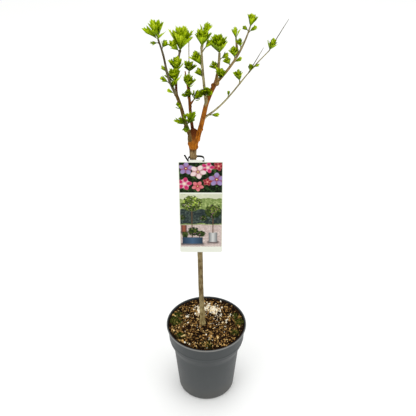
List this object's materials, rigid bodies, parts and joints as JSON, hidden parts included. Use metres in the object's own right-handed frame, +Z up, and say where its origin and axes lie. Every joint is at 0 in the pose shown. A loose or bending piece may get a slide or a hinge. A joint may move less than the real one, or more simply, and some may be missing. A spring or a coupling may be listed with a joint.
{
  "type": "potted standard hibiscus",
  "caption": "Young hibiscus grown as a standard: one bare stem with a small open head of boughs and tufts of new leaves, in a round plastic nursery pot.",
  "frame": {"origin": "middle of the pot's flat underside, where it stands on the ground", "axes": "+Z up along the pot's axis, -Y towards the side that carries the label card, +X to the right seen from that side"},
  "size_m": [0.2809, 0.19, 0.9903],
  "materials": {
    "pot_plastic": "dark grey moulded nursery plastic, satin",
    "compost": "moist bark and peat compost with white grit",
    "stem_bark": "smooth olive tan bark with fine pores",
    "brown_bark": "brown grey bark",
    "red_bark": "red brown bark with fine cracks",
    "grey_bark": "dark grey brown bark",
    "pale_bark": "pale grey tan bark of last year's wood",
    "young_leaf": "soft young yellow green leaves",
    "printed_card": null,
    "tie_strap": "black soft plastic strap"
  },
  "bodies": {
    "root": {"pot": "pot_plastic", "compost": "compost", "trunk": "stem_bark", "left_bough": "brown_bark", "right_bough": "red_bark", "centre_bough": "red_bark", "left_outer_bough": "grey_bark", "left_inner_bough": "grey_bark", "front_bough": "pale_bark", "right_inner_bough": "pale_bark", "right_outer_bough": "pale_bark", "low_bough": "pale_bark", "low_bough_end": "pale_bark", "low_side_twig": "pale_bark", "centre_twig": "pale_bark", "dead_spur": "red_bark", "centre_bough_leaves_1": "young_leaf", "centre_bough_leaves_2": "young_leaf", "centre_bough_leaves_3": "young_leaf", "centre_twig_leaves_1": "young_leaf", "front_bough_leaves_1": "young_leaf", "front_bough_leaves_2": "young_leaf", "front_bough_leaves_3": "young_leaf", "front_bough_leaves_4": "young_leaf", "front_bough_leaves_5": "young_leaf", "front_bough_leaves_6": "young_leaf", "left_bough_leaves_1": "young_leaf", "left_bough_leaves_2": "young_leaf", "left_bough_leaves_3": "young_leaf", "left_inner_bough_leaves_1": "young_leaf", "left_inner_bough_leaves_2": "young_leaf", "left_inner_bough_leaves_3": "young_leaf", "left_inner_bough_leaves_4": "young_leaf", "left_outer_bough_leaves_1": "young_leaf", "left_outer_bough_leaves_2": "young_leaf", "left_outer_bough_leaves_3": "young_leaf", "left_outer_bough_leaves_4": "young_leaf", "left_outer_bough_leaves_5": "young_leaf", "left_outer_bough_leaves_6": "young_leaf", "low_bough_leaves_1": "young_leaf", "low_bough_leaves_2": "young_leaf", "low_bough_leaves_3": "young_leaf", "low_bough_leaves_4": "young_leaf", "low_bough_leaves_5": "young_leaf", "low_bough_leaves_6": "young_leaf", "right_inner_bough_leaves_1": "young_leaf", "right_inner_bough_leaves_2": "young_leaf", "right_inner_bough_leaves_3": "young_leaf", "right_outer_bough_leaves_1": "young_leaf", "right_outer_bough_leaves_2": "young_leaf", "right_outer_bough_leaves_3": "young_leaf", "right_outer_bough_leaves_4": "young_leaf", "right_outer_bough_leaves_5": "young_leaf", "right_outer_bough_leaves_6": "young_leaf", "right_outer_bough_leaves_7": "young_leaf", "right_outer_bough_leaves_8": "young_leaf", "right_outer_bough_leaves_9": "young_leaf", "label_card": "printed_card", "label_tie": "tie_strap"}
  },
  "joints": []
}
